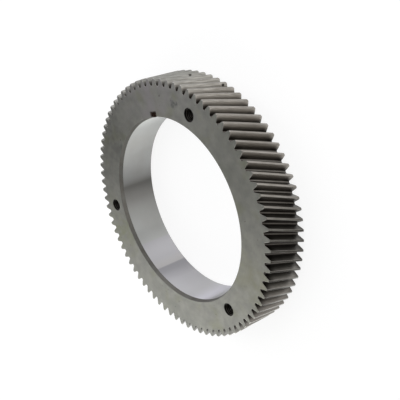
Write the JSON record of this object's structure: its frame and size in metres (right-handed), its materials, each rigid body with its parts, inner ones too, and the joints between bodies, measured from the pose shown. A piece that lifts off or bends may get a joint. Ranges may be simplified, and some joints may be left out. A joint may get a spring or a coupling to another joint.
{
  "type": "timing gear",
  "caption": "Helical timing gear ring with deep fine teeth, a large ground bore, tapped puller holes and a drive notch at the bore's front edge.",
  "frame": {"origin": "centre of the back face, on the bore's axis, where the gear lies on a surface", "axes": "+Z along the bore axis towards the front face with the notch and the countersinks, +Y through the drive notch, +X to complete a right-handed frame"},
  "size_m": [0.201, 0.201, 0.032],
  "materials": {
    "gear_steel": "ground faces and bore, hobbed teeth with a thin film of oil"
  },
  "bodies": {
    "root": {"gear_ring": "gear_steel"}
  },
  "joints": []
}
